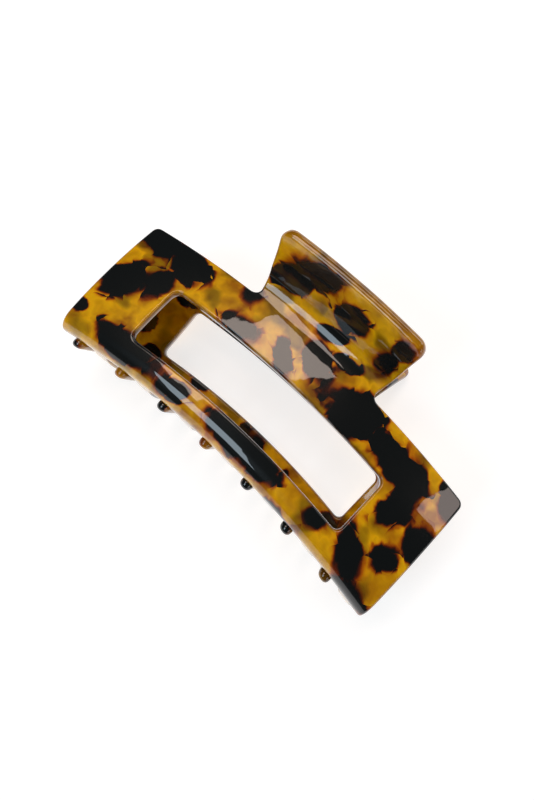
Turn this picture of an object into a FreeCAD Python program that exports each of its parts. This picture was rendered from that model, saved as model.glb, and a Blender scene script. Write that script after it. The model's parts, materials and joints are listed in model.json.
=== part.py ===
import FreeCAD, Part
import math
import os
import Sketcher
from FreeCAD import Placement, Rotation, Vector

# Claw clip: two identical bent-sheet jaws on one hinge pin, closed by a torsion spring.
# Every piece is drawn in the clip's upright frame: X along the hinge pin, Y from the front jaw
# to the rear jaw, Z up towards the handles, origin in the middle of the pin. One placement then
# lays the closed clip on its back, so that it rests on the rear jaw's roll and handle tip.
DIMENSIONS = {
    # the sheet and its outline, seen from the front
    "clip_length": 105.0,
    "sheet_thickness": 3.0,
    "frame_top": 4.5,
    "frame_arch": 4.6,
    "frame_corner": 2.2,
    "frame_bottom": -36.6,
    "handle_base": 38.0,
    "handle_width": 42.9,
    "handle_side_top": 17.4,
    "handle_corner": 3.5,
    "handle_fillet": 1.8,
    "window_length": 69.6,
    "window_top": -6.7,
    "window_bottom": -22.6,
    "window_top_arch": 2.1,
    "window_bottom_arch": 2.45,
    "window_corner": 2.5,
    # the sheet's bends, seen from the side
    "plate_depth": 14.8,
    "roll_height": 25.5,
    "plate_radius": 86.0,
    "plate_turn": 20.3,
    "valley_radius": 7.0,
    "valley_turn": 74.9,
    "handle_flat": 12.3,
    "roll_radius": 4.0,
    "roll_turn": 75.0,
    "tooth_radius": 76.0,
    "tooth_turn": 18.2,
    # the crown along the length: the whole sheet is turned about a far, tilted axis
    "crown_radius": 232.0,
    "crown_tilt": 30.0,
    "crown_sweep": 30.0,
    "crown_reference_depth": 13.6,
    "crown_reference_height": 13.3,
    # teeth
    "tooth_pitch": 14.6,
    "tooth_offset": 3.65,
    "tooth_root_width": 5.0,
    "tooth_tip_radius": 1.65,
    "tooth_root_depth": 10.4,
    "tooth_tip_depth": 8.2,
    "crown_bulge": 3.1,
    # hinge
    "pin_radius": 1.0,
    "pin_half_length": 15.45,
    "pin_head_radius": 1.9,
    "pin_head_height": 1.1,
    "bore_radius": 1.05,
    "eye_radius": 3.4,
    "lug_thickness": 3.2,
    "lug_inner_start": 8.6,
    "lug_outer_start": 12.1,
    "lug_foot_drop": 6.0,
    "lug_reach_top": 9.6,
    "lug_reach_foot": 12.2,
    # spring
    "wire_radius": 0.55,
    "coil_radius": 3.2,
    "coil_half_length": 7.4,
    "coil_whole_turns": 12.0,
    "leg_lean": 21.8,
    "leg_length": 14.3,
    # the clip lying on its back
    "lying_tilt": 9.0,
    "pin_height": 20.16,
    "pin_shift": 7.35,
}

TOOTH_COUNT = 7
WASTE_TOP = 40
WASTE_BOTTOM = -60
WASTE_RIM = 5
WASTE_SIDE = 30
CUT_THROUGH = 120
COMB_LEVEL = -50
COMB_HEIGHT = 30
COMB_SIDE = 10
SMALLEST_CUT = 1
AXIS_DRAWN = 10
SHEET = "Dimensions"

doc = FreeCAD.newDocument("claw_clip")


def make_sheet():
    """Put the driving dimensions in a spreadsheet, one alias each."""
    sheet = doc.addObject("Spreadsheet::Sheet", SHEET)
    for row, (alias, value) in enumerate(DIMENSIONS.items(), start=1):
        sheet.set(f"A{row}", alias)
        sheet.set(f"B{row}", str(value))
        sheet.setAlias(f"B{row}", alias)
    doc.recompute()
    return sheet


cells = make_sheet()


def size(alias):
    """A driving dimension as a number."""
    return float(cells.get(alias))


def cell(alias):
    """The same dimension as an expression."""
    return f"{SHEET}.{alias}"


# ---------------------------------------------------------------- placement and sketch helpers


def lying(turned=False):
    """Placement of an upright piece in the lying clip; turned pieces belong to the rear jaw."""
    down = Rotation(Vector(1, 0, 0), size("lying_tilt") - 90)
    half_turn = Rotation(Vector(0, 0, 1), 180 if turned else 0)
    return Placement(Vector(0, size("pin_shift"), size("pin_height")), down * half_turn)


def bind_placement(piece):
    """Tie the piece's place above the table to the spreadsheet."""
    piece.setExpression("Placement.Base.y", cell("pin_shift"))
    piece.setExpression("Placement.Base.z", cell("pin_height"))


def new_sketch(body, name, plane_role, offset=0.0):
    """A sketch on one of the body's own origin planes, moved along the plane's normal."""
    sketch = body.newObject("Sketcher::SketchObject", name)
    plane = next(item for item in body.Origin.OriginFeatures if item.Role == plane_role)
    sketch.AttachmentSupport = [(plane, "")]
    sketch.MapMode = "FlatFace"
    sketch.AttachmentOffset = Placement(Vector(0, 0, offset), Rotation())
    return sketch


def add_line(sketch, start, end):
    return sketch.addGeometry(Part.LineSegment(Vector(*start, 0), Vector(*end, 0)), False)


def add_arc(sketch, start, middle, end):
    return sketch.addGeometry(Part.Arc(Vector(*start, 0), Vector(*middle, 0), Vector(*end, 0)), False)


def drive(sketch, kind, geometry, point, expression):
    """Dimension a point from the sketch's origin and bind it to the spreadsheet."""
    value = sketch.getPoint(geometry, point)
    number = value.x if kind == "DistanceX" else value.y
    index = sketch.addConstraint(Sketcher.Constraint(kind, -1, 1, geometry, point, number))
    sketch.setExpression(f"Constraints[{index}]", expression)


def drive_radius(sketch, geometry, expression):
    number = sketch.Geometry[geometry].Radius
    index = sketch.addConstraint(Sketcher.Constraint("Radius", geometry, number))
    sketch.setExpression(f"Constraints[{index}]", expression)


# ---------------------------------------------------------------- the bent sheet, from the side


def heading(degrees):
    """Unit vector at an angle from vertical, positive towards the rear."""
    return Vector(math.sin(math.radians(degrees)), math.cos(math.radians(degrees)), 0)


def outward(degrees):
    """Unit vector square to a heading, on the sheet's outer side."""
    return Vector(-math.cos(math.radians(degrees)), math.sin(math.radians(degrees)), 0)


def sheet_stations():
    """Stations of the sheet's middle line, from the tooth's end up to the handle's tip.

    Each is (point, heading in degrees, centre and signed radius of the bend that leads to it).
    A straight run has no centre or radius.
    """
    bends = [
        (size("tooth_radius"), size("tooth_turn")),
        (size("roll_radius"), size("roll_turn")),
        (size("plate_radius"), size("plate_turn")),
        (size("valley_radius"), -size("valley_turn")),
    ]
    angle = -size("roll_turn") - size("tooth_turn")
    point = Vector(0, 0, 0)
    stations = [(point, angle, None, None)]
    for radius, turn in bends:
        signed = math.copysign(radius, turn)
        centre = point - outward(angle) * signed
        angle += turn
        point = centre + outward(angle) * signed
        stations.append((point, angle, centre, signed))
    point = point + heading(angle) * size("handle_flat")
    stations.append((point, angle, None, None))
    plate_foot = stations[2][0]
    shift = Vector(-size("plate_depth"), -size("roll_height"), 0) - plate_foot
    return [(p + shift, a, c + shift if c else None, r) for p, a, c, r in stations]


def add_sheet_side(sketch, stations, offset):
    """One face of the sheet as arcs and lines, offset from its middle line."""
    edges = []
    for (start, start_angle, _, _), (end, end_angle, centre, radius) in zip(stations, stations[1:]):
        first = start + outward(start_angle) * offset
        last = end + outward(end_angle) * offset
        if centre is None:
            edges.append(add_line(sketch, (first.x, first.y), (last.x, last.y)))
            continue
        middle = centre + outward((start_angle + end_angle) / 2) * (radius + offset)
        edges.append(add_arc(sketch, (first.x, first.y), (middle.x, middle.y), (last.x, last.y)))
    return edges


def draw_side_profile(sketch):
    """The thick sheet in section, with a rounded handle tip, and the crown's axis."""
    half = size("sheet_thickness") / 2
    stations = sheet_stations()
    outer = add_sheet_side(sketch, stations, half)
    inner = add_sheet_side(sketch, stations, -half)
    tip, tip_angle = stations[-1][0], stations[-1][1]
    outer_tip = tip + outward(tip_angle) * half
    inner_tip = tip - outward(tip_angle) * half
    crest = tip + heading(tip_angle) * half
    add_arc(sketch, (outer_tip.x, outer_tip.y), (crest.x, crest.y), (inner_tip.x, inner_tip.y))
    root, root_angle = stations[0][0], stations[0][1]
    low = root + outward(root_angle) * half
    high = root - outward(root_angle) * half
    add_line(sketch, (low.x, low.y), (high.x, high.y))
    drive_radius(sketch, outer[1], f"{cell('roll_radius')} + {cell('sheet_thickness')} / 2")
    drive_radius(sketch, outer[2], f"{cell('plate_radius')} + {cell('sheet_thickness')} / 2")
    drive_radius(sketch, inner[3], f"{cell('valley_radius')} + {cell('sheet_thickness')} / 2")

    tilt = math.radians(size("crown_tilt"))
    reference = Vector(-size("crown_reference_depth"), -size("crown_reference_height"), 0)
    centre = reference + Vector(math.sin(tilt), -math.cos(tilt), 0) * size("crown_radius")
    along = Vector(math.cos(tilt), math.sin(tilt), 0) * AXIS_DRAWN
    sketch.addGeometry(Part.LineSegment(centre - along, centre + along), True)


# ---------------------------------------------------------------- the sheet's outline, from the front


def arched(crest, drop, half):
    """Height of an arched edge that falls by drop from its middle to its end."""
    return lambda x: crest - drop * (x / half) ** 2


def add_corner(sketch, corner, first, last):
    """An arc that rounds a corner, between two points equally far from it."""
    corner, first, last = Vector(*corner, 0), Vector(*first, 0), Vector(*last, 0)
    to_first = (first - corner).normalize()
    to_last = (last - corner).normalize()
    half_angle = to_first.getAngle(to_last) / 2
    reach = (first - corner).Length
    radius = reach * math.tan(half_angle)
    middle = corner + (to_first + to_last).normalize() * (radius / math.sin(half_angle) - radius)
    return add_arc(sketch, (first.x, first.y), (middle.x, middle.y), (last.x, last.y))


def draw_outline_side(sketch, side):
    """One half of the jaw's outline: lower corner, end, arched top edge and handle flank."""
    half = size("clip_length") / 2
    corner = size("frame_corner")
    base = size("handle_base") / 2
    wide = size("handle_width") / 2
    flank_top = size("handle_side_top")
    rounding = size("handle_corner")
    fillet = size("handle_fillet")
    bottom = size("frame_bottom")
    top = arched(size("frame_top"), size("frame_arch"), half)
    above, below = WASTE_TOP - WASTE_RIM, WASTE_BOTTOM + WASTE_RIM

    def at(x, z):
        return (side * x, z)

    add_line(sketch, at(half - corner, below), at(half - corner, bottom))
    add_corner(sketch, at(half, bottom), at(half - corner, bottom), at(half, bottom + corner))
    end = add_line(sketch, at(half, bottom + corner), at(half, top(half) - corner))
    drive(sketch, "DistanceX", end, 1, f"{side} * {cell('clip_length')} / 2")
    top_start, top_end = half - corner, base + fillet
    middle = (top_start + top_end) / 2
    add_corner(sketch, at(half, top(half)), at(half, top(half) - corner), at(top_start, top(top_start)))
    add_arc(sketch, at(top_start, top(top_start)), at(middle, top(middle)), at(top_end, top(top_end)))
    flank = Vector(wide - base, flank_top - top(base), 0).normalize() * fillet
    flank_start = at(base + flank.x, top(base) + flank.y)
    add_corner(sketch, at(base, top(base)), at(top_end, top(top_end)), flank_start)
    add_line(sketch, flank_start, at(wide, flank_top))
    add_corner(sketch, at(wide, flank_top + rounding), at(wide, flank_top),
               at(wide - rounding, flank_top + rounding))
    add_line(sketch, at(wide - rounding, flank_top + rounding), at(wide - rounding, above))


def draw_outline(sketch):
    """Everything outside the jaw's outline, as a frame of waste round it."""
    half = size("clip_length") / 2
    reach = half + WASTE_SIDE
    box = [(-reach, WASTE_BOTTOM), (reach, WASTE_BOTTOM), (reach, WASTE_TOP), (-reach, WASTE_TOP)]
    for start, end in zip(box, box[1:] + box[:1]):
        add_line(sketch, start, end)
    for side in (-1, 1):
        draw_outline_side(sketch, side)
    foot = half - size("frame_corner")
    crest = size("handle_width") / 2 - size("handle_corner")
    add_line(sketch, (-foot, WASTE_BOTTOM + WASTE_RIM), (foot, WASTE_BOTTOM + WASTE_RIM))
    add_line(sketch, (-crest, WASTE_TOP - WASTE_RIM), (crest, WASTE_TOP - WASTE_RIM))


def draw_window(sketch):
    """The long window: two arched edges and two straight ends with rounded corners."""
    half = size("window_length") / 2
    corner = size("window_corner")
    inset = half - corner
    upper = arched(size("window_top"), size("window_top_arch"), half)
    lower = arched(size("window_bottom"), size("window_bottom_arch"), half)
    add_arc(sketch, (-inset, upper(inset)), (0, upper(0)), (inset, upper(inset)))
    add_arc(sketch, (-inset, lower(inset)), (0, lower(0)), (inset, lower(inset)))
    for side in (-1, 1):
        top_of_end = (side * half, upper(half) - corner)
        foot_of_end = (side * half, lower(half) + corner)
        end = add_line(sketch, top_of_end, foot_of_end)
        add_corner(sketch, (side * half, upper(half)), (side * inset, upper(inset)), top_of_end)
        add_corner(sketch, (side * half, lower(half)), (side * inset, lower(inset)), foot_of_end)
        drive(sketch, "DistanceX", end, 1, f"{side} * {cell('window_length')} / 2")


def crown_shift(x):
    """How far the crown moves the sheet inwards at a distance along its length."""
    return size("crown_bulge") * (x / (size("clip_length") / 2)) ** 2


def draw_tooth_gaps(sketch):
    """The waste between and beyond the teeth, seen from above, as one comb outline."""
    reach = size("clip_length") / 2 + COMB_SIDE
    beyond = WASTE_SIDE
    tip = size("tooth_tip_radius")
    half_root = size("tooth_root_width") / 2
    middle = (TOOTH_COUNT - 1) / 2

    def root(x):
        return -size("tooth_root_depth") + crown_shift(x)

    corner = (-reach, root(size("clip_length") / 2))
    add_line(sketch, (-reach, beyond), corner)
    for index in range(TOOTH_COUNT):
        x = size("tooth_offset") + size("tooth_pitch") * (index - middle)
        end = size("tooth_tip_depth") - crown_shift(x)
        left_root = (x - half_root, root(x - half_root))
        right_root = (x + half_root, root(x + half_root))
        add_line(sketch, corner, left_root)
        add_line(sketch, left_root, (x - tip, end))
        round_end = add_arc(sketch, (x - tip, end), (x, end + tip), (x + tip, end))
        add_line(sketch, (x + tip, end), right_root)
        drive_radius(sketch, round_end, cell("tooth_tip_radius"))
        corner = right_root
    last = (reach, root(size("clip_length") / 2))
    add_line(sketch, corner, last)
    add_line(sketch, last, (reach, beyond))
    add_line(sketch, (reach, beyond), (-reach, beyond))


def cut(body, name, sketch, length, midplane, reverse=False):
    """A pocket that has to take material away."""
    before = body.Shape.Volume
    pocket = body.newObject("PartDesign::Pocket", name)
    pocket.Profile = sketch
    pocket.Length = length
    pocket.Midplane = midplane
    pocket.Reversed = reverse
    doc.recompute()
    if body.Shape.Volume > before - SMALLEST_CUT:
        raise RuntimeError(f"{name} cut nothing")


def make_jaw(label, turned):
    """One jaw: a crowned, bent sheet with its outline, window and teeth cut out of it."""
    body = doc.addObject("PartDesign::Body", label)
    profile = new_sketch(body, f"{label}_side", "YZ_Plane")
    draw_side_profile(profile)
    doc.recompute()
    sheet = body.newObject("PartDesign::Revolution", f"{label}_sheet")
    sheet.Profile = profile
    sheet.ReferenceAxis = (profile, ["Axis0"])
    sheet.Midplane = True
    sheet.setExpression("Angle", cell("crown_sweep"))
    doc.recompute()

    outline = new_sketch(body, f"{label}_outline", "XZ_Plane")
    draw_outline(outline)
    cut(body, f"{label}_outline_cut", outline, CUT_THROUGH, True)
    window = new_sketch(body, f"{label}_window", "XZ_Plane")
    draw_window(window)
    cut(body, f"{label}_window_cut", window, CUT_THROUGH, True)
    gaps = new_sketch(body, f"{label}_gaps", "XY_Plane", COMB_LEVEL)
    draw_tooth_gaps(gaps)
    cut(body, f"{label}_gaps_cut", gaps, COMB_HEIGHT, False, reverse=True)
    body.Placement = lying(turned)
    bind_placement(body)
    return body


# ---------------------------------------------------------------- hinge


def make_lug(label, jaw, start, turned):
    """An eye on the pin with an arm that is bonded to the inside of its jaw's top bar."""
    eye = size("eye_radius")
    foot = size("lug_foot_drop")
    sheet_top = -size("lug_reach_top")
    sheet_low = -size("lug_reach_foot")
    slope = math.atan2(foot - eye, -sheet_low)
    tangent = (eye * math.sin(slope), -eye * math.cos(slope))

    body = doc.addObject("PartDesign::Body", f"{label}_blank")
    sketch = new_sketch(body, f"{label}_side", "YZ_Plane", start)
    add_line(sketch, (0, eye), (sheet_top, eye))
    add_line(sketch, (sheet_top, eye), (sheet_low, -foot))
    add_line(sketch, (sheet_low, -foot), tangent)
    on_rim = (eye * math.cos(slope / 2), eye * math.sin(slope / 2))
    rim = add_arc(sketch, tangent, on_rim, (0, eye))
    bore = sketch.addGeometry(Part.Circle(Vector(0, 0, 0), Vector(0, 0, 1), size("bore_radius")), False)
    drive_radius(sketch, rim, cell("eye_radius"))
    drive_radius(sketch, bore, cell("bore_radius"))
    plate = body.newObject("PartDesign::Pad", f"{label}_plate")
    plate.Profile = sketch
    plate.setExpression("Length", cell("lug_thickness"))
    body.Placement = lying(turned)
    bind_placement(body)
    doc.recompute()

    lug = doc.addObject("Part::Cut", label)
    lug.Base = body
    lug.Tool = jaw
    return lug


def make_pin():
    """The steel hinge pin with a domed head at each end."""
    radius = size("pin_radius")
    head = size("pin_head_radius")
    shank = size("pin_half_length")
    dome = size("pin_head_height")
    body = doc.addObject("PartDesign::Body", "hinge_pin")
    sketch = new_sketch(body, "hinge_pin_side", "XY_Plane")
    add_line(sketch, (-shank - dome, 0), (shank + dome, 0))
    dome_radius = (head ** 2 + dome ** 2) / (2 * dome)
    half_angle = math.asin(head / dome_radius) / 2
    for side in (-1, 1):
        centre = side * (shank + dome - dome_radius)
        on_dome = (centre + side * dome_radius * math.cos(half_angle), dome_radius * math.sin(half_angle))
        add_arc(sketch, (side * (shank + dome), 0), on_dome, (side * shank, head))
        add_line(sketch, (side * shank, head), (side * shank, radius))
    barrel = add_line(sketch, (-shank, radius), (shank, radius))
    drive(sketch, "DistanceY", barrel, 1, cell("pin_radius"))
    turned = body.newObject("PartDesign::Revolution", "hinge_pin_turned")
    turned.Profile = sketch
    turned.ReferenceAxis = (sketch, ["H_Axis"])
    turned.Angle = 360
    body.Placement = lying()
    bind_placement(body)
    return body


def make_spring():
    """The torsion spring: a close coil round the pin and a straight leg to each handle."""
    lean = size("leg_lean")
    end = size("coil_half_length")
    sweep = size("coil_whole_turns") + (180 - 2 * lean) / 360
    to_pin_axis = Rotation(Vector(1, 1, 1), 120)

    helix = doc.addObject("Part::Helix", "coil_line")
    helix.setExpression("Radius", cell("coil_radius"))
    helix.setExpression("Height", f"2 * {cell('coil_half_length')}")
    helix.Pitch = 2 * end / sweep
    wire = doc.addObject("Part::Circle", "coil_wire")
    wire.setExpression("Radius", cell("wire_radius"))
    wire.Placement = Placement(Vector(size("coil_radius"), 0, 0), Rotation(Vector(1, 0, 0), 90))
    coil = doc.addObject("Part::Sweep", "coil")
    coil.Sections = [wire]
    coil.Spine = (helix, ["Edge1"])
    coil.Solid = True
    coil.Frenet = True
    start_turn = Rotation(Vector(1, 0, 0), 180 + lean)
    coil_place = Placement(Vector(-end, 0, 0), start_turn * to_pin_axis)
    coil.Placement = lying() * coil_place

    legs = []
    for side, label in ((-1, "front_leg"), (1, "rear_leg")):
        along = Vector(0, side * math.sin(math.radians(lean)), math.cos(math.radians(lean)))
        on_coil = Vector(side * end, side * size("coil_radius") * math.cos(math.radians(lean)),
                         -size("coil_radius") * math.sin(math.radians(lean)))
        leg = doc.addObject("Part::Cylinder", label)
        leg.setExpression("Radius", cell("wire_radius"))
        leg.setExpression("Height", cell("leg_length"))
        leg.Placement = lying() * Placement(on_coil, Rotation(Vector(0, 0, 1), along))
        legs.append(leg)
    spring = doc.addObject("Part::MultiFuse", "torsion_spring")
    spring.Shapes = [coil] + legs
    return spring


# ---------------------------------------------------------------- assembly

front_jaw = make_jaw("front_jaw", turned=False)
rear_jaw = make_jaw("rear_jaw", turned=True)
doc.recompute()

inner_start = size("lug_inner_start")
outer_start = size("lug_outer_start")
thickness = size("lug_thickness")
pieces = [
    front_jaw,
    rear_jaw,
    make_lug("front_lug_left", front_jaw, -inner_start - thickness, turned=False),
    make_lug("front_lug_right", front_jaw, outer_start, turned=False),
    make_lug("rear_lug_left", rear_jaw, outer_start, turned=True),
    make_lug("rear_lug_right", rear_jaw, -inner_start - thickness, turned=True),
    make_pin(),
    make_spring(),
]
doc.recompute()

for item in doc.Objects:
    if "Invalid" in item.State or "Error" in item.State:
        raise RuntimeError(f"{item.Label} failed: {item.State}")

os.makedirs("parts", exist_ok=True)
for piece in pieces:
    shape = piece.Shape
    if shape.isNull() or not shape.isValid() or shape.Volume <= 0:
        raise RuntimeError(f"{piece.Label} has no valid solid")
    shape.exportStep(f"parts/{piece.Label}.step")
    box = shape.BoundBox
    print(f"{piece.Label:18s} solids {len(shape.Solids)} volume {shape.Volume:9.1f} "
          f"x {box.XMin:.2f} {box.XMax:.2f} y {box.YMin:.2f} {box.YMax:.2f} z {box.ZMin:.2f} {box.ZMax:.2f}")
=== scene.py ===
import json
import math

import bpy
import numpy as np
from mathutils import Matrix, Quaternion, Vector
from mathutils.geometry import delaunay_2d_cdt


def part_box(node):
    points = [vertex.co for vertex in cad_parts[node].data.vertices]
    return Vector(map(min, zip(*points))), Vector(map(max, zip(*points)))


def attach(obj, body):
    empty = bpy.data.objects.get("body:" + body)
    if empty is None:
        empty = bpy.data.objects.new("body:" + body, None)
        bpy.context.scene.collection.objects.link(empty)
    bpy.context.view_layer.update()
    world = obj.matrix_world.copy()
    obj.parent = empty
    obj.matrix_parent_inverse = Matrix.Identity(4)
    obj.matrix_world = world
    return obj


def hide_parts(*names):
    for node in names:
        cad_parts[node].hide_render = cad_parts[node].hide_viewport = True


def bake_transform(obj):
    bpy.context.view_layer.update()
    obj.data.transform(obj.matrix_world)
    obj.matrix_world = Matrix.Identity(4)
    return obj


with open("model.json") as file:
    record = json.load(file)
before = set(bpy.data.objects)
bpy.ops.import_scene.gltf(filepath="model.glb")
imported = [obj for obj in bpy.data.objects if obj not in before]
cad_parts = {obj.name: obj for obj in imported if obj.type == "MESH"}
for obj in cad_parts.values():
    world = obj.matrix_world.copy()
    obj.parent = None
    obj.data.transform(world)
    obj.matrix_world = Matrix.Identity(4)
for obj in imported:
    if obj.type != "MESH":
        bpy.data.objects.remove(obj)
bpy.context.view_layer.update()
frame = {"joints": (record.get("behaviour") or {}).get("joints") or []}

# Large claw clip in tortoise acetate. Lengths are millimetres in the clip's upright frame, the one
# that the CAD model is drawn in: X along the hinge pin, Y from the front jaw to the rear jaw, Z
# towards the handles, origin in the middle of the pin. lay_down() takes them to the row frame in
# metres. A jaw is drawn flat, in sheet coordinates: x along the clip, s up the sheet from the
# tooth tips to the handle's tip, and n off the middle of the sheet, outwards.
HINGE = next(joint for joint in frame["joints"] if joint["name"] == "jaw_hinge")
PIN = np.array(HINGE["pos_m"])
LYING_TILT = math.radians(9.0)

# The sheet. Each bend is a radius and the angle that it turns through, in degrees.
HALF_LENGTH = 52.5
HALF_SHEET = 1.5
PLATE_FOOT = (-14.8, -25.5)
TOOTH_BEND = (76.0, 18.2)
ROLL_BEND = (4.0, 75.0)
PLATE_BEND = (86.0, 20.3)
VALLEY_BEND = (7.0, -74.9)
HANDLE_FLAT = 12.3
CROWN_RADIUS = 232.0
CROWN_TILT = math.radians(30.0)
CROWN_REFERENCE = (-13.6, -13.3)

# The outline, in the flat sheet or by its height in the upright frame.
FRAME_TOP, FRAME_ARCH, FRAME_CORNER = 4.5, 4.6, 1.7
FOOT_CORNER_LEFT, FOOT_CORNER_RIGHT = 1.2, 1.6
HANDLE_BASE, HANDLE_FLARE, HANDLE_FILLET, HANDLE_CORNER = 19.0, 0.1815, 2.0, 3.0
HANDLE_CREST = 20.4
WINDOW_HALF, WINDOW_CORNER = 34.8, 1.9
WINDOW_TOP, WINDOW_TOP_ARCH = -6.7, 2.1
WINDOW_BOTTOM, WINDOW_BOTTOM_ARCH = -22.6, 2.45
TOOTH_COUNT, TOOTH_PITCH, TOOTH_OFFSET = 7, 14.6, 3.65
TOOTH_ROOT, TOOTH_TIP, ROOT_DEPTH, TIP_DEPTH = 2.5, 1.65, -10.4, 8.2
TOOTH_FILLET, LAST_FILLET = 1.1, 0.7
CROWN_BULGE = 3.1
EDGE_ROUND, TOOTH_ROUND, HANDLE_ROUND = 0.65, 1.35, 1.15

# How finely the meshes are drawn.
BEND_STEP = 0.02
LINE_SAMPLES = 900
ARC_STEPS = 12
EDGE_RINGS = 11
SLOPE_STEP = 0.05
OUTLINE_SPACING, WINDOW_SPACING = 0.55, 0.6
LUG_SPACING, BORE_SPACING = 0.3, 0.16


# ---------------------------------------------------------------- the bent and crowned sheet


def bend_table():
    """Middle line of the sheet from the teeth to the handle's tip: length, y, z and heading."""
    spans = [(math.radians(turn), radius * math.radians(abs(turn)))
             for radius, turn in (TOOTH_BEND, ROLL_BEND, PLATE_BEND, VALLEY_BEND)]
    spans.append((0.0, HANDLE_FLAT + HALF_SHEET))
    heading = [-math.radians(ROLL_BEND[1] + TOOTH_BEND[1])]
    length = [0.0]
    for turn, span in spans:
        count = int(math.ceil(span / BEND_STEP))
        for k in range(1, count + 1):
            heading.append(heading[-1] + turn / count)
            length.append(length[-1] + span / count)
    heading, length = np.array(heading), np.array(length)
    middle = (heading[1:] + heading[:-1]) / 2
    run = np.diff(length)
    y = np.concatenate([[0.0], np.cumsum(run * np.sin(middle))])
    z = np.concatenate([[0.0], np.cumsum(run * np.cos(middle))])
    foot = math.radians(TOOTH_BEND[1]) * TOOTH_BEND[0] + math.radians(ROLL_BEND[1]) * ROLL_BEND[0]
    y += PLATE_FOOT[0] - np.interp(foot, length, y)
    z += PLATE_FOOT[1] - np.interp(foot, length, z)
    return length, y, z, heading


TABLE = bend_table()
SHEET_END = TABLE[0][-1]
ROLL_START = TOOTH_BEND[0] * math.radians(TOOTH_BEND[1])
ROLL_END = ROLL_START + ROLL_BEND[0] * math.radians(ROLL_BEND[1])
VALLEY_START = ROLL_END + PLATE_BEND[0] * math.radians(PLATE_BEND[1])
VALLEY_END = VALLEY_START + VALLEY_BEND[0] * math.radians(-VALLEY_BEND[1])


def upright(x, s, n):
    """Sheet coordinates to the upright frame: bent first, then crowned along the length."""
    length, table_y, table_z, table_heading = TABLE
    heading = np.interp(s, length, table_heading)
    y = np.interp(s, length, table_y) - np.cos(heading) * n
    z = np.interp(s, length, table_z) + np.sin(heading) * n
    sin, cos = math.sin(CROWN_TILT), math.cos(CROWN_TILT)
    centre_y = CROWN_REFERENCE[0] + CROWN_RADIUS * sin
    centre_z = CROWN_REFERENCE[1] - CROWN_RADIUS * cos
    reach = (y - centre_y) * -sin + (z - centre_z) * cos
    drop = np.sqrt(reach ** 2 - x ** 2) - reach
    return np.stack([x, y - sin * drop, z + cos * drop], -1)


def lay_down(points, turned=False):
    """Upright frame in millimetres to the row frame in metres; turned is for the rear jaw."""
    points = np.asarray(points, float)
    x, y, z = points[..., 0], points[..., 1], points[..., 2]
    if turned:
        x, y = -x, -y
    sin, cos = math.sin(LYING_TILT), math.cos(LYING_TILT)
    return np.stack([x, sin * y + cos * z, -cos * y + sin * z], -1) / 1000 + PIN


def along_sheet(x, value, axis, low, high):
    """The place s between low and high where the middle line's upright y or z has a value."""
    s = np.linspace(low, high, LINE_SAMPLES)
    line = upright(np.full_like(s, x), s, np.zeros_like(s))[:, axis]
    order = np.argsort(line)
    return float(np.interp(value, line[order], s[order]))


def by_height(x, z):
    just_above_roll = ROLL_START + 1.5
    return along_sheet(x, z, 2, just_above_roll, SHEET_END)


def by_depth(x, y):
    return along_sheet(x, y, 1, 0.0, ROLL_END)


# ---------------------------------------------------------------- flat outlines


def rounded(corners):
    """A closed line through (x, s, radius) corners, each rounded to its radius."""
    result = []
    count = len(corners)
    for index, (x, s, radius) in enumerate(corners):
        here = np.array((x, s))
        before = np.array(corners[index - 1][:2]) - here
        after = np.array(corners[(index + 1) % count][:2]) - here
        if radius == 0:
            result.append(here)
            continue
        before /= np.linalg.norm(before)
        after /= np.linalg.norm(after)
        half_corner = math.acos(np.clip(before @ after, -1, 1)) / 2
        reach = radius / math.tan(half_corner)
        middle = (before + after) / np.linalg.norm(before + after)
        centre = here + middle * radius / math.sin(half_corner)
        first, last = here + before * reach - centre, here + after * reach - centre
        start = math.atan2(first[1], first[0])
        sweep = (math.atan2(last[1], last[0]) - start + math.pi) % (2 * math.pi) - math.pi
        for k in range(ARC_STEPS + 1):
            angle = start + sweep * k / ARC_STEPS
            result.append(centre + radius * np.array((math.cos(angle), math.sin(angle))))
    return np.array(result)


def evenly(loop, spacing):
    """The same closed line with points an even distance apart."""
    closed = np.vstack([loop, loop[:1]])
    travelled = np.concatenate([[0], np.cumsum(np.linalg.norm(np.diff(closed, axis=0), axis=1))])
    count = int(round(travelled[-1] / spacing))
    at = np.arange(count) * travelled[-1] / count
    return np.stack([np.interp(at, travelled, closed[:, k]) for k in (0, 1)], -1)


def loop_normals(loop):
    """Unit normals of a closed line, to its right: outwards where it runs anticlockwise."""
    along = np.roll(loop, -1, 0) - np.roll(loop, 1, 0)
    along /= np.linalg.norm(along, axis=1)[:, None]
    normals = np.stack([along[:, 1], -along[:, 0]], -1)
    for _ in range(2):
        normals = normals * 2 + np.roll(normals, 1, 0) + np.roll(normals, -1, 0)
        normals /= np.linalg.norm(normals, axis=1)[:, None]
    return normals


def crown_bulge(x):
    """How far the crown pushes the frame back at a place along the clip."""
    return CROWN_BULGE * (x / HALF_LENGTH) ** 2


def tooth_corners(index, root):
    """Four corners of one tooth, which is straight-sided and round at its end."""
    x = TOOTH_OFFSET + TOOTH_PITCH * (index - (TOOTH_COUNT - 1) / 2)
    end = by_depth(x, TIP_DEPTH + TOOTH_TIP - crown_bulge(x))
    tip_round = TOOTH_TIP * 0.97
    return [(x - TOOTH_ROOT, root(x - TOOTH_ROOT), TOOTH_FILLET),
            (x - TOOTH_TIP, end, tip_round),
            (x + TOOTH_TIP, end, tip_round),
            (x + TOOTH_ROOT, root(x + TOOTH_ROOT), TOOTH_FILLET)]


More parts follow.
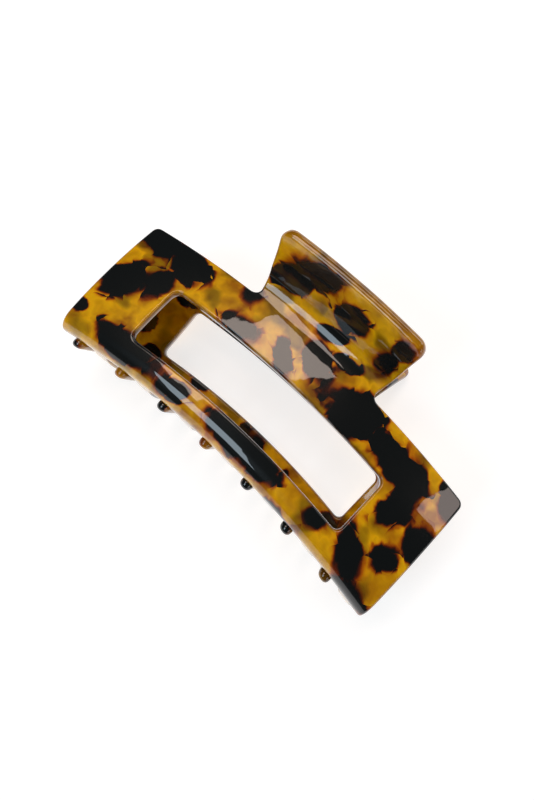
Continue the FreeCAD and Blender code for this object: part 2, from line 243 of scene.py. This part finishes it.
def frame_loop():
    """The jaw's whole outline in the flat sheet, anticlockwise from its lower left corner."""

    def root(x):
        return by_depth(x, ROOT_DEPTH + crown_bulge(x))

    def top(x):
        return by_height(x, FRAME_TOP - FRAME_ARCH * (x / HALF_LENGTH) ** 2)

    foot = root(HALF_LENGTH)
    corners = [(-HALF_LENGTH, foot, FOOT_CORNER_LEFT)]
    for index in range(TOOTH_COUNT):
        corners += tooth_corners(index, root)
    corners[-1] = corners[-1][:2] + (LAST_FILLET,)
    corners.append((HALF_LENGTH, foot, FOOT_CORNER_RIGHT))

    right = [(HALF_LENGTH, top(HALF_LENGTH), FRAME_CORNER)]
    right += [(x, top(x), 0) for x in np.linspace(48.0, 23.0, 9)]
    base_z = FRAME_TOP - FRAME_ARCH * (HANDLE_BASE / HALF_LENGTH) ** 2
    right.append((HANDLE_BASE, top(HANDLE_BASE), HANDLE_FILLET))
    for z in (9.0, 11.0, 13.0, 15.0):
        x = HANDLE_BASE + HANDLE_FLARE * (z - base_z)
        right.append((x, by_height(x, z), 0))
    right.append((HANDLE_BASE + HANDLE_FLARE * (HANDLE_CREST - base_z), SHEET_END, HANDLE_CORNER))
    left = [(-x, s, radius) for x, s, radius in reversed(right)]
    return rounded(corners + right + left)


def window_loop():
    """The long window in the flat sheet, anticlockwise."""

    def edge(x, crest, arch):
        return by_height(x, crest - arch * (x / WINDOW_HALF) ** 2)

    inner = np.linspace(-30.0, 30.0, 21)
    foot = edge(WINDOW_HALF, WINDOW_BOTTOM, WINDOW_BOTTOM_ARCH)
    head = edge(WINDOW_HALF, WINDOW_TOP, WINDOW_TOP_ARCH)
    corners = [(-WINDOW_HALF, foot, WINDOW_CORNER)]
    corners += [(x, edge(x, WINDOW_BOTTOM, WINDOW_BOTTOM_ARCH), 0) for x in inner]
    corners += [(WINDOW_HALF, foot, WINDOW_CORNER), (WINDOW_HALF, head, WINDOW_CORNER)]
    corners += [(x, edge(x, WINDOW_TOP, WINDOW_TOP_ARCH), 0) for x in inner[::-1]]
    corners += [(-WINDOW_HALF, head, WINDOW_CORNER)]
    return rounded(corners)


def inside(points, loops):
    """Which points lie in the area between the loops, by the even-odd rule."""
    hit = np.zeros(len(points), bool)
    for loop in loops:
        ends = np.roll(loop, -1, 0)
        for (x0, y0), (x1, y1) in zip(loop, ends):
            if y0 == y1:
                continue
            crosses = (points[:, 1] < y0) != (points[:, 1] < y1)
            at = x0 + (points[:, 1] - y0) * (x1 - x0) / (y1 - y0)
            hit ^= crosses & (points[:, 0] < at)
    return hit


# ---------------------------------------------------------------- meshes


def link(thing):
    bpy.context.scene.collection.objects.link(thing)
    return thing


def edge_band(loop, half, edge_at):
    """Rings round a closed line that round the plate's edge, how they lean, and the face's rim."""
    normals = loop_normals(loop)
    count = len(loop)
    edge = edge_at(loop[:, 1])[:, None]
    rings, leans = [], []
    for turn in np.linspace(-math.pi / 2, math.pi / 2, EDGE_RINGS):
        height = edge * math.sin(turn) + (half - edge) * np.sign(turn)
        ring = loop - normals * edge * (1 - math.cos(turn))
        rings.append(np.column_stack([ring, height]))
        leans.append(np.column_stack([normals * math.cos(turn), np.full(count, math.sin(turn))]))
    return rings, leans, loop - normals * edge


def band_faces(start, count):
    """Quads between the neighbouring rings of one edge band."""
    faces = []
    for ring in range(EDGE_RINGS - 1):
        low, high = start + ring * count, start + (ring + 1) * count
        faces += [(low + i, low + (i + 1) % count, high + (i + 1) % count, high + i)
                  for i in range(count)]
    return faces


def clear_of_rims(grid, rims, half):
    """The grid's points that lie between the rims and not too near to them."""
    grid = grid[inside(grid, rims)]
    rim = np.vstack(rims)
    gap = np.array([np.min(np.sum((rim - point) ** 2, axis=1)) for point in grid])
    return grid[gap > (half / 4) ** 2]


def face_triangles(rims, grid):
    """Triangles between the rims, as numbers of the rims' points and then of the grid's."""
    edges, first = [], 0
    for rim in rims:
        edges += [(first + i, first + (i + 1) % len(rim)) for i in range(len(rim))]
        first += len(rim)
    found, _, triangles, origin, _, _ = delaunay_2d_cdt(
        [Vector(point) for point in np.vstack([*rims, grid])], edges, [], 0, 1e-6)
    found = np.array([tuple(point) for point in found])
    triangles = np.array([tuple(face) for face in triangles])
    triangles = triangles[inside(found[triangles].mean(axis=1), rims)]
    return [[origin[corner][0] for corner in face] for face in triangles]


def bent_normals(flat, lean, to_row):
    """Normals of the bent plate, from its slopes and from how each point leans when flat."""
    u, v, n = flat.T
    tangents = [to_row(u + SLOPE_STEP, v, n) - to_row(u - SLOPE_STEP, v, n),
                to_row(u, v + SLOPE_STEP, n) - to_row(u, v - SLOPE_STEP, n),
                to_row(u, v, n + SLOPE_STEP) - to_row(u, v, n - SLOPE_STEP)]
    along_u, along_v, off = (t / np.linalg.norm(t, axis=1)[:, None] for t in tangents)
    square = np.cross(along_u, along_v)
    square *= np.sign(np.sum(square * off, axis=1))[:, None]
    square /= np.linalg.norm(square, axis=1)[:, None]
    normals = along_u * lean[:, :1] + along_v * lean[:, 1:2] + square * lean[:, 2:]
    return normals / np.linalg.norm(normals, axis=1)[:, None]


def rounded_plate(name, loops, half, edge_at, grid, to_row, patches):
    """A plate between closed loops as one closed mesh, bent by to_row(u, v, n).

    Its edges are rounded to the radius edge_at(v), and grid holds the points of its two faces.
    """
    flat, lean, faces, rims, low_index, high_index = [], [], [], [], [], []
    start = 0
    for loop in loops:
        count = len(loop)
        rings, leans, rim = edge_band(loop, half, edge_at)
        flat += rings
        lean += leans
        faces += band_faces(start, count)
        rims.append(rim)
        last = start + (EDGE_RINGS - 1) * count
        low_index += range(start, start + count)
        high_index += range(last, last + count)
        start += count * EDGE_RINGS

    grid = clear_of_rims(grid, rims, half)
    low_index += range(start, start + len(grid))
    high_index += range(start + len(grid), start + 2 * len(grid))
    for a, b, c in face_triangles(rims, grid):
        faces.append((high_index[a], high_index[b], high_index[c]))
        faces.append((low_index[c], low_index[b], low_index[a]))
    for side in (-1, 1):
        flat.append(np.column_stack([grid, np.full(len(grid), side * half)]))
        lean.append(np.column_stack([np.zeros((len(grid), 2)), np.full(len(grid), side)]))
    flat, lean = np.vstack(flat), np.vstack(lean)
    normals = bent_normals(flat, lean, to_row)

    mesh = bpy.data.meshes.new(name)
    vertices = to_row(*flat.T).tolist()
    mesh.from_pydata(vertices, [], [tuple(int(i) for i in face) for face in faces])
    last_high_face = mesh.polygons[len(mesh.polygons) - 2]
    if Vector(last_high_face.normal).dot(Vector(normals[last_high_face.vertices[0]])) < 0:
        mesh.flip_normals()
    mesh.polygons.foreach_set("use_smooth", [True] * len(mesh.polygons))
    mesh.update()
    mesh.normals_split_custom_set_from_vertices(normals.tolist())
    # rim is how far a point of the edge band leans off the face; the acetate uses it to paint shade
    # on the rounded edges.
    for layer, kind, field, values in (
            ("sheet_place", "FLOAT_VECTOR", "vector", flat),
            ("patch", "FLOAT", "value", patch_field(flat, patches)),
            ("rim", "FLOAT", "value", np.linalg.norm(lean[:, :2], axis=1))):
        attribute = mesh.attributes.new(layer, kind, "POINT")
        attribute.data.foreach_set(field, np.ascontiguousarray(values, np.float32).ravel())
    return link(bpy.data.objects.new(name, mesh))


def patch_field(flat, patches):
    """How deep each point is in the nearest dark patch: its strength in the middle, less outwards.

    The patches go through the sheet on a slant, as the chips in cast acetate do.
    """
    slant = np.array((0.5, -0.7))
    spread = 0.55
    place = flat[:, :2] + (flat[:, 2:] - HALF_SHEET) * slant
    field = np.full(len(flat), -1.0)
    for x, s, long, short, degrees, strength in patches:
        turn = math.radians(degrees)
        dx, ds = place[:, 0] - x, place[:, 1] - s
        reach = np.hypot((dx * math.cos(turn) + ds * math.sin(turn)) / (long + spread),
                         (ds * math.cos(turn) - dx * math.sin(turn)) / (short + spread))
        field = np.maximum(field, strength - reach)
    return field


def swept(name, path, radii, sides):
    """A round bar along a path, closed at both ends."""
    path, radii = np.array(path, float), np.array(radii, float)
    along = np.gradient(path, axis=0)
    along /= np.linalg.norm(along, axis=1)[:, None]
    off_the_path = (0.3, 0.5, 0.8)
    side = np.cross(along[0], off_the_path)
    vertices = []
    for point, direction, radius in zip(path, along, radii):
        side = side - direction * (side @ direction)
        side /= np.linalg.norm(side)
        other = np.cross(direction, side)
        for k in range(sides):
            angle = 2 * math.pi * k / sides
            vertices.append(point + radius * (side * math.cos(angle) + other * math.sin(angle)))
    faces = []
    for ring in range(len(path) - 1):
        for k in range(sides):
            a, b = ring * sides + k, ring * sides + (k + 1) % sides
            faces.append((a, b, b + sides, a + sides))
    last = (len(path) - 1) * sides
    faces.append(tuple(range(sides - 1, -1, -1)))
    faces.append(tuple(last + k for k in range(sides)))
    mesh = bpy.data.meshes.new(name)
    mesh.from_pydata([tuple(v) for v in lay_down(np.array(vertices))], [], faces)
    mesh.polygons.foreach_set("use_smooth", [True] * len(mesh.polygons))
    mesh.update()
    return link(bpy.data.objects.new(name, mesh))


# ---------------------------------------------------------------- materials


def material(name, **sockets):
    made = bpy.data.materials.new(name)
    made.use_nodes = True
    shader = made.node_tree.nodes["Principled BSDF"]
    for socket, value in sockets.items():
        shader.inputs[socket.replace("_", " ")].default_value = value
    return made, made.node_tree, shader


def plug(tree, node, socket, value):
    """Link a node's output to a socket, or set the socket to a plain value."""
    if isinstance(value, bpy.types.NodeSocket):
        tree.links.new(value, node.inputs[socket])
    else:
        node.inputs[socket].default_value = value


def add(tree, kind, inputs=(), **settings):
    """A node with its settings; inputs are (socket, value or output socket)."""
    node = tree.nodes.new("ShaderNode" + kind)
    for setting, value in settings.items():
        setattr(node, setting, value)
    for socket, value in inputs:
        plug(tree, node, socket, value)
    return node


def maths(tree, operation, first, second):
    return add(tree, "Math", ((0, first), (1, second)), operation=operation).outputs[0]


def swing(tree, value, strength):
    """A value from 0 to 1 moved about its middle: minus to plus half the strength."""
    return maths(tree, "MULTIPLY", maths(tree, "SUBTRACT", value, 0.5), strength)


def ramp(tree, factor, stops):
    node = add(tree, "ValToRGB", ((0, factor),))
    elements = node.color_ramp.elements
    while len(elements) < len(stops):
        elements.new(0.5)
    for element, (position, colour) in zip(elements, stops):
        element.position = position
        element.color = (*colour, 1)
    return node.outputs[0]


def map_range(tree, value, low, high, to_low, to_high):
    inputs = ((0, value), (1, low), (2, high), (3, to_low), (4, to_high))
    return add(tree, "MapRange", inputs).outputs[0]


def noise(tree, place, scale, detail=2.0, rough=0.5):
    return add(tree, "TexNoise", (("Vector", place), ("Scale", scale), ("Detail", detail),
                                  ("Roughness", rough)))


def mix(tree, factor, first, second, blend="MIX"):
    node = add(tree, "Mix", ((0, factor),), data_type="RGBA", blend_type=blend)
    plug(tree, node, 6, first)
    plug(tree, node, 7, second)
    return node.outputs[2]


def warped_place(tree, place):
    """The place on the sheet, pushed about by a broad noise, so that shapes in it flow."""
    wander = noise(tree, place, 0.16, 2.0).outputs["Color"]
    centred = add(tree, "VectorMath", ((0, wander), (1, (0.5, 0.5, 0.5))), operation="SUBTRACT")
    pushed = add(tree, "VectorMath", ((0, centred.outputs[0]), ("Scale", 5.0)), operation="SCALE")
    return add(tree, "VectorMath", ((0, place), (1, pushed.outputs[0]))).outputs[0]


def dark_level(tree, place, warped):
    """How dark the acetate is: the patches, chipped and ragged at their borders, some sharper."""
    patch = add(tree, "Attribute", attribute_name="patch").outputs["Fac"]
    chips = add(tree, "TexVoronoi", (("Vector", warped), ("Scale", 0.21))).outputs["Color"]
    chip = add(tree, "SeparateColor", ((0, chips),)).outputs[0]
    ragged = noise(tree, warped, 0.28, 1.5, 0.45).outputs["Fac"]
    broad = noise(tree, place, 0.09, 1.0).outputs["Fac"]
    field = maths(tree, "ADD", patch, swing(tree, chip, 0.42))
    field = maths(tree, "ADD", field, swing(tree, ragged, 0.8))
    crisp = map_range(tree, broad, 0.38, 0.6, 0.62, 2.4)
    return maths(tree, "ADD", maths(tree, "MULTIPLY", field, crisp), 0.5)


def honey_body(tree, warped, level):
    """Honey that drifts in depth, red-brown where a patch thins out, with olive veils in it."""
    drift = noise(tree, warped, 0.11, 3.0).outputs["Fac"]
    honey = ramp(tree, drift, ((0.3, (0.46, 0.19, 0.0005)), (0.5, (0.82, 0.43, 0.001)),
                               (0.66, (0.38, 0.14, 0.0005))))
    thin = ramp(tree, level, ((0.0, (1.0, 1.0, 1.0)), (0.24, (0.92, 0.78, 0.6)),
                              (0.38, (0.62, 0.30, 0.2)), (0.51, (0.20, 0.04, 0.02)),
                              (0.64, (0.010, 0.008, 0.006))))
    body = mix(tree, 1.0, honey, thin, "MULTIPLY")
    elsewhere = add(tree, "VectorMath", ((0, warped), (1, (57.0, 31.0, 11.0)))).outputs[0]
    deep = noise(tree, elsewhere, 0.10, 1.0).outputs["Fac"]
    veil = ramp(tree, deep, ((0.53, (1.0, 1.0, 1.0)), (0.63, (0.27, 0.28, 0.2))))
    return mix(tree, 0.85, body, veil, "MULTIPLY")


def polish(tree, shader, place):
    """Slow waves and fine hand-polishing scratches in the gloss."""
    stretched = add(tree, "Mapping", (("Vector", place), ("Rotation", (0, 0, 0.5)),
                                      ("Scale", (0.35, 7.0, 1.0)))).outputs[0]
    scratches = noise(tree, stretched, 1.0, 4.0, 0.7).outputs["Fac"]
    handled = maths(tree, "ADD", maths(tree, "MULTIPLY", scratches, 0.12), 0.22)
    tree.links.new(handled, shader.inputs["Roughness"])
    waves = noise(tree, place, 0.22, 1.0).outputs["Fac"]
    relief = maths(tree, "ADD", waves, maths(tree, "MULTIPLY", scratches, 0.012))
    bump = add(tree, "Bump", (("Height", relief), ("Distance", 0.00006), ("Strength", 0.6)))
    tree.links.new(bump.outputs[0], shader.inputs["Coat Normal"])


def tortoise(name):
    """Polished tortoise acetate: honey with near-black chips, and painted shade darkening its
    rounded edges. Noise scales are per millimetre.
    """
    made, tree, shader = material(
        name, Metallic=0.0, Coat_Weight=1.0, Coat_Roughness=0.012, Coat_IOR=1.5, IOR=1.45,
        Specular_IOR_Level=0.1, Subsurface_Radius=(1.0, 0.45, 0.08), Subsurface_Scale=0.002)
    place = add(tree, "Attribute", attribute_name="sheet_place").outputs["Vector"]
    rim = add(tree, "Attribute", attribute_name="rim").outputs["Fac"]
    warped = warped_place(tree, place)
    level = dark_level(tree, place, warped)

    body = honey_body(tree, warped, level)
    # Painted shade: the rounded edges are multiplied towards dark brown by how far they lean off
    # the face.
    painted_rim_shade = maths(tree, "MULTIPLY", rim, 0.7)
    rim_shaded_body = mix(tree, painted_rim_shade, body, (0.26, 0.15, 0.04, 1), "MULTIPLY")
    black = map_range(tree, level, 0.45, 0.66, 0.0, 1.0)
    tinted = mix(tree, black, rim_shaded_body, (0.0035, 0.0050, 0.0052, 1))
    tree.links.new(tinted, shader.inputs["Base Color"])
    glow = maths(tree, "MULTIPLY", maths(tree, "SUBTRACT", 1.0, black), 0.16)
    tree.links.new(glow, shader.inputs["Subsurface Weight"])
    polish(tree, shader, place)
    return made


def drawn_steel(name):
    """Bright drawn spring wire: fine lines along the wire and a slightly uneven shine."""
    made, tree, shader = material(name, Metallic=1.0)
    place = add(tree, "TexCoord").outputs["Object"]
    lines = add(tree, "Mapping", (("Vector", place), ("Scale", (2600.0, 900.0, 900.0)))).outputs[0]
    drawn = noise(tree, lines, 1.0, 4.0, 0.65).outputs["Fac"]
    cloud = noise(tree, place, 420.0, 2.0).outputs["Fac"]
    colour = ramp(tree, cloud, ((0.3, (0.50, 0.50, 0.49)), (0.7, (0.68, 0.68, 0.66))))
    tree.links.new(colour, shader.inputs["Base Color"])
    rough = maths(tree, "ADD", maths(tree, "MULTIPLY", drawn, 0.22), 0.14)
    tree.links.new(rough, shader.inputs["Roughness"])
    bump = add(tree, "Bump", (("Height", drawn), ("Distance", 0.00003), ("Strength", 0.5)))
    tree.links.new(bump.outputs[0], shader.inputs["Normal"])
    return made


ACETATE = tortoise("tortoise_acetate")
STEEL = drawn_steel("drawn_steel")


def finish_piece(piece, look, slot, *nodes):
    piece.data.materials.append(look)
    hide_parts(*nodes)


# ---------------------------------------------------------------- the jaws

# Dark patches of the front jaw, listed for each part of the sheet, in whole millimetres
# and degrees: (along, up the sheet, long radius, short radius, turn). The teeth's are random.
LEFT_END = [(-48, 57, 6, 3, -10), (-47, 43, 6, 5, 40), (-38, 56, 6, 4, -15), (-40, 47, 4, 3, 70),
            (-51, 32, 2, 2, 0)]
LOWER_BAR = [(-35, 30, 10, 3, 0), (-17, 29, 4, 2, 10), (5, 30, 11, 3, 0), (29, 31, 3, 2, 30)]
UPPER_BAR = [(-16, 51, 5, 2, 5), (-3, 52, 4, 2, -45), (4, 57, 5, 3, -30), (19, 54, 7, 5, 15),
             (-20, 60, 3, 2, 80)]
RIGHT_END = [(35, 53, 9, 4, 0), (41, 46, 5, 3, 60), (50, 57, 4, 3, -30), (50, 45, 3, 3, 60),
             (47, 37, 3, 2, 40), (40, 31, 6, 3, -35), (46, 26, 5, 2, 10)]
HANDLE = [(-14, 72, 6, 4, 40), (-7, 78, 5, 3, 15), (4, 74, 5, 4, 15), (2, 66, 4, 2, 30),
          (16, 71, 4, 2, 75), (18, 78, 3, 2, 60), (9, 62, 4, 2, 20)]
FRONT_PATCHES = [(*patch, 1.0) for patch in LEFT_END + LOWER_BAR + UPPER_BAR + RIGHT_END + HANDLE]
# The end of the rear jaw that shows through the front window, with each patch's strength.
REAR_SEEN_END = [(38, 52, 4, 2, 30, 0.9), (45, 41, 5, 3, 60, 1), (36, 33, 3, 2, 10, 0.8),
                 (33, 58, 4, 2, 0, 1), (47, 56, 4, 3, -30, 1)]
TEETH_TOP = 23.0


def scattered(generator, count, top):
    """Random dark patches from the tooth tips up to a place on the sheet."""
    result = []
    for _ in range(count):
        long = generator.uniform(2.5, 6.0)
        x = generator.uniform(-HALF_LENGTH, HALF_LENGTH)
        s = generator.uniform(0.0, top)
        short = long * generator.uniform(0.4, 0.8)
        turn = generator.uniform(-90, 90)
        result.append((x, s, long, short, turn, generator.uniform(0.6, 1)))
    return result


def on_seen_end(patch):
    return patch[0] > 27 and 30 < patch[1] < 60


chance = np.random.default_rng(27)
FRONT_PATCHES += scattered(chance, 26, TEETH_TOP)
REAR_PATCHES = [patch for patch in scattered(chance, 80, SHEET_END) if not on_seen_end(patch)]
REAR_PATCHES += REAR_SEEN_END


def ripple(x, s):
    """Polishing ripple of the sheet in millimetres, the same on both faces."""
    return 0.014 * (np.sin(x * 0.31 + s * 0.17 + 1.1) + np.sin(x * 0.13 - s * 0.37 + 2.3)
                    + 0.7 * np.sin(x * 0.47 + s * 0.29 + 4.0))


def sheet_grid():
    """Points of the sheet's faces, closer together where it bends most."""
    wide, middling, close = 1.5, 1.2, 0.6
    rows = [np.arange(1.0, ROLL_START, wide), np.arange(ROLL_START, ROLL_END, close),
            np.arange(ROLL_END, VALLEY_START, wide), np.arange(VALLEY_START, VALLEY_END, close),
            np.arange(VALLEY_END, SHEET_END, middling)]
    x, s = np.meshgrid(np.arange(-52.0, 52.1, 1.3), np.concatenate(rows))
    return np.column_stack([x.ravel(), s.ravel()])


def jaw_edge(s):
    """Edge radius up the sheet: nearly full round on the teeth and handle, crisp on the frame."""
    tooth = np.clip((ROLL_START - 4 - s) / 6, 0, 1)
    handle = np.clip((s - VALLEY_END - 2) / 5, 0, 1)
    return EDGE_ROUND + (TOOTH_ROUND - EDGE_ROUND) * tooth + (HANDLE_ROUND - EDGE_ROUND) * handle


def jaw_bend(turned):
    """The way from sheet coordinates to the row frame, for one of the jaws."""

    def to_row(x, s, n):
        return lay_down(upright(x, s, n + ripple(x, s)), turned)

    return to_row


JAW_LOOPS = [evenly(frame_loop(), OUTLINE_SPACING), evenly(window_loop(), WINDOW_SPACING)[::-1]]
JAW_GRID = sheet_grid()
for name, node, body, turned, patches in (
        ("front_jaw_sheet", "front_jaw", "front_half", False, FRONT_PATCHES),
        ("rear_jaw_sheet", "rear_jaw", "rear_half", True, REAR_PATCHES)):
    jaw = rounded_plate(name, JAW_LOOPS, HALF_SHEET, jaw_edge, JAW_GRID, jaw_bend(turned), patches)
    finish_piece(jaw, ACETATE, "tortoise_acetate", node)
    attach(jaw, body)

# ---------------------------------------------------------------- hinge

LUG_EYE, BORE, LUG_HALF, LUG_EDGE, LUG_CORNER = 3.4, 1.05, 1.6, 0.45, 0.5
LUG_TOP, LUG_FOOT, LUG_FOOT_DROP = -9.8, -12.3, 6.0
LUG_GRID_STEP = 0.8
PIN_RADIUS, HEAD_RADIUS, HEAD_HEIGHT, SHANK = 1.0, 1.9, 1.1, 15.45
WIRE, COIL, COIL_HALF, COIL_TURNS = 0.55, 3.2, 7.4, 12
LEG, LEG_LEAN = 14.3, math.radians(21.8)


def lug_loop():
    """The lug's side outline: an eye round the pin and an arm that widens to the jaw."""
    slope = math.atan2(LUG_FOOT_DROP - LUG_EYE, -LUG_FOOT)
    corners = [(LUG_TOP, LUG_EYE, LUG_CORNER), (LUG_FOOT, -LUG_FOOT_DROP, LUG_CORNER)]
    steps = 18
    for k in range(steps + 1):
        angle = -math.pi / 2 + slope + k * (math.pi - slope) / steps
        corners.append((LUG_EYE * math.cos(angle), LUG_EYE * math.sin(angle), 0))
    return rounded(corners)


def circle(radius, count):
    turn = np.linspace(0, 2 * math.pi, count, endpoint=False)
    return np.column_stack([radius * np.cos(turn), radius * np.sin(turn)])


def lug_grid():
    """Points of the lug's faces, as far as its outline reaches."""
    u, v = np.meshgrid(np.arange(-12.0, LUG_EYE, LUG_GRID_STEP),
                       np.arange(-LUG_FOOT_DROP, LUG_EYE, LUG_GRID_STEP))
    return np.column_stack([u.ravel(), v.ravel()])


def lug_edge(v):
    return np.full_like(v, LUG_EDGE)


def lug_bend(middle, turned):
    """The way from a lug's side view to the row frame, with its middle at a place along X."""

    def to_row(u, v, n):
        x = (-middle if turned else middle) + n
        return lay_down(np.stack([x, u, v], -1), turned)

    return to_row


LUG_LOOPS = [evenly(lug_loop(), LUG_SPACING), evenly(circle(BORE, 40), BORE_SPACING)[::-1]]
LUG_GRID = lug_grid()
for name in ("front_lug_left", "front_lug_right", "rear_lug_left", "rear_lug_right"):
    low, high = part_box(name)
    middle = (low.x + high.x) / 2 * 1000
    turned = name.startswith("rear")
    shade = [(chance.uniform(-12, 2), chance.uniform(-6, 3), 4.0, 2.5, chance.uniform(-90, 90), 1.0)
             for _ in range(2)]
    lug = rounded_plate(name + "_lug", LUG_LOOPS, LUG_HALF, lug_edge, LUG_GRID,
                        lug_bend(middle, turned), shade)
    finish_piece(lug, ACETATE, "tortoise_acetate", name)
    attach(lug, "rear_half" if turned else "front_half")


def pin_profile():
    """(x, radius) along the pin: a domed head, a small break under it, the shank and the same."""
    dome = (HEAD_RADIUS ** 2 + HEAD_HEIGHT ** 2) / (2 * HEAD_HEIGHT)
    half_dome = math.asin(HEAD_RADIUS / dome)
    head = [(SHANK + HEAD_HEIGHT - dome + dome * math.cos(a), dome * math.sin(a))
            for a in np.linspace(0.01, half_dome, 9)]
    head += [(SHANK + 0.04, HEAD_RADIUS - 0.01), (SHANK, HEAD_RADIUS - 0.06),
             (SHANK, PIN_RADIUS + 0.04), (SHANK - 0.04, PIN_RADIUS)]
    return [(-x, radius) for x, radius in head] + head[::-1]


stations = pin_profile()
pin = swept("hinge_pin_rod", [(x, 0, 0) for x, _ in stations], [r for _, r in stations], 40)
finish_piece(pin, STEEL, "steel", "hinge_pin")
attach(pin, "rear_half")


def spring_path():
    """Down the front leg, round the pin, and up the rear leg."""
    sweep = 2 * math.pi * COIL_TURNS + math.pi - 2 * LEG_LEAN
    first = math.pi + LEG_LEAN
    steps = COIL_TURNS * 44
    coil = []
    for k in range(steps + 1):
        part = k / steps
        angle = first + sweep * part
        place = (COIL_HALF * (2 * part - 1), COIL * math.cos(angle), COIL * math.sin(angle))
        coil.append(np.array(place))
    front_up = np.array((0, -math.sin(LEG_LEAN), math.cos(LEG_LEAN)))
    rear_up = np.array((0, math.sin(LEG_LEAN), math.cos(LEG_LEAN)))
    reach = np.linspace(0.35, LEG, 24)
    front_leg = [coil[0] + front_up * far for far in reach[::-1]]
    rear_leg = [coil[-1] + rear_up * far for far in reach]
    return front_leg + coil + rear_leg


def with_round_ends(path):
    """The path and its radii, with both ends drawn out by a few steps that close in."""
    closing = ((0.45, 0.5), (0.68, 0.34), (0.75, 0.12))
    before = [path[0] + (path[0] - path[1]) * far for far, _ in closing[::-1]]
    after = [path[-1] + (path[-1] - path[-2]) * far for far, _ in closing]
    radii = [radius for _, radius in closing]
    return before + path + after, radii[::-1] + [WIRE] * len(path) + radii


path, radii = with_round_ends(spring_path())
spring = swept("torsion_spring_wire", path, radii, 14)
finish_piece(spring, STEEL, "steel", "torsion_spring")
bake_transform(spring)

# ---------------------------------------------------------------- floor, light and camera

FLOOR_REACH = 9
WHITE, WARM, ROSE, SKY = (1, 1, 1), (1.0, 0.84, 0.75), (1.0, 0.84, 0.78), (0.74, 0.89, 1.0)
CLIP = (0, 0, 0.03)

floor_mesh = bpy.data.meshes.new("floor")
floor_mesh.from_pydata([(-FLOOR_REACH, -FLOOR_REACH, 0), (FLOOR_REACH, -FLOOR_REACH, 0),
                        (FLOOR_REACH, FLOOR_REACH, 0), (-FLOOR_REACH, FLOOR_REACH, 0)],
                       [], [(0, 1, 2, 3)])
floor = link(bpy.data.objects.new("floor", floor_mesh))
floor_mesh.materials.append(material("floor", Base_Color=(0.5, 0.5, 0.5, 1), Roughness=0.9,
                                     Specular_IOR_Level=0.1, Emission_Color=(1, 1, 1, 1),
                                     Emission_Strength=0.72)[0])


def studio_world():
    """A pale backdrop that gives only a little light, so that black acetate stays black."""
    world = bpy.data.worlds.new("studio")
    world.use_nodes = True
    room = world.node_tree
    backdrop = add(room, "Background", (("Color", (0.8, 0.8, 0.8, 1)),))
    dim = room.nodes["Background"]
    dim.inputs["Color"].default_value = (0.95, 0.97, 1, 1)
    dim.inputs["Strength"].default_value = 0.06
    ray = add(room, "LightPath")
    both = add(room, "MixShader", ((0, ray.outputs["Is Camera Ray"]), (1, dim.outputs[0]),
                                   (2, backdrop.outputs[0])))
    room.links.new(both.outputs[0], room.nodes["World Output"].inputs["Surface"])
    return world


bpy.context.scene.world = studio_world()
bpy.context.scene.view_settings.view_transform = "Standard"


def softbox(name, place, aim, width, height, radiance, colour, roll=0.0):
    """A soft rectangular lamp in metres; roll turns it about the line to its aim, in degrees."""
    data = bpy.data.lights.new(name, "AREA")
    data.shape = "RECTANGLE"
    data.size, data.size_y = width, height
    data.energy = radiance * math.pi * width * height
    data.color = colour
    lamp = link(bpy.data.objects.new(name, data))
    lamp.location = place
    towards = (Vector(place) - Vector(aim)).to_track_quat("Z", "Y")
    lamp.rotation_euler = (towards @ Quaternion((0, 0, 1), math.radians(roll))).to_euler()


softbox("overhead_window", (-0.19, 0.12, 0.6), (-0.19, 0.12, 0), 0.20, 0.56, 5.5, WARM, -16)
softbox("sky_window", (-0.17, -0.52, 0.6), (-0.17, -0.52, 0), 0.24, 0.52, 6.0, SKY)
softbox("corner_window", (0.36, 0.31, 0.6), (0.36, 0.31, 0), 0.07, 0.26, 4.0, ROSE, -15)
softbox("back_panel", (0.2, 1.2, 0.45), CLIP, 1.2, 0.3, 3.0, WHITE)
softbox("side_panel", (1.2, -0.2, 0.45), CLIP, 1.2, 0.3, 3.0, WHITE)

# The camera in the upright frame: its place, a step ahead and a step to the picture's right.
CAMERA_PLACE = np.array((23.4, -163.84, -8.13))
CAMERA_AHEAD = np.array((-14.6, 98.92, -3.41))
CAMERA_RIGHT = np.array((72.4, 12.97, 67.68))
CAMERA_LENS, CAMERA_SENSOR, CAMERA_NEAR = 28.2, 36, 0.005


def photo_camera():
    """The camera at the photograph's viewing angle."""
    data = bpy.data.cameras.new("camera")
    data.lens, data.sensor_width, data.clip_start = CAMERA_LENS, CAMERA_SENSOR, CAMERA_NEAR
    eye, ahead, across = (Vector(lay_down(point)) for point in (
        CAMERA_PLACE, CAMERA_PLACE + CAMERA_AHEAD, CAMERA_PLACE + CAMERA_RIGHT))
    back = (eye - ahead).normalized()
    up = back.cross(across - eye).normalized()
    right = up.cross(back).normalized()
    camera = link(bpy.data.objects.new("camera", data))
    camera.matrix_world = Matrix((
        (right.x, up.x, back.x, eye.x),
        (right.y, up.y, back.y, eye.y),
        (right.z, up.z, back.z, eye.z),
        (0, 0, 0, 1)))
    return camera


bpy.context.scene.camera = photo_camera()
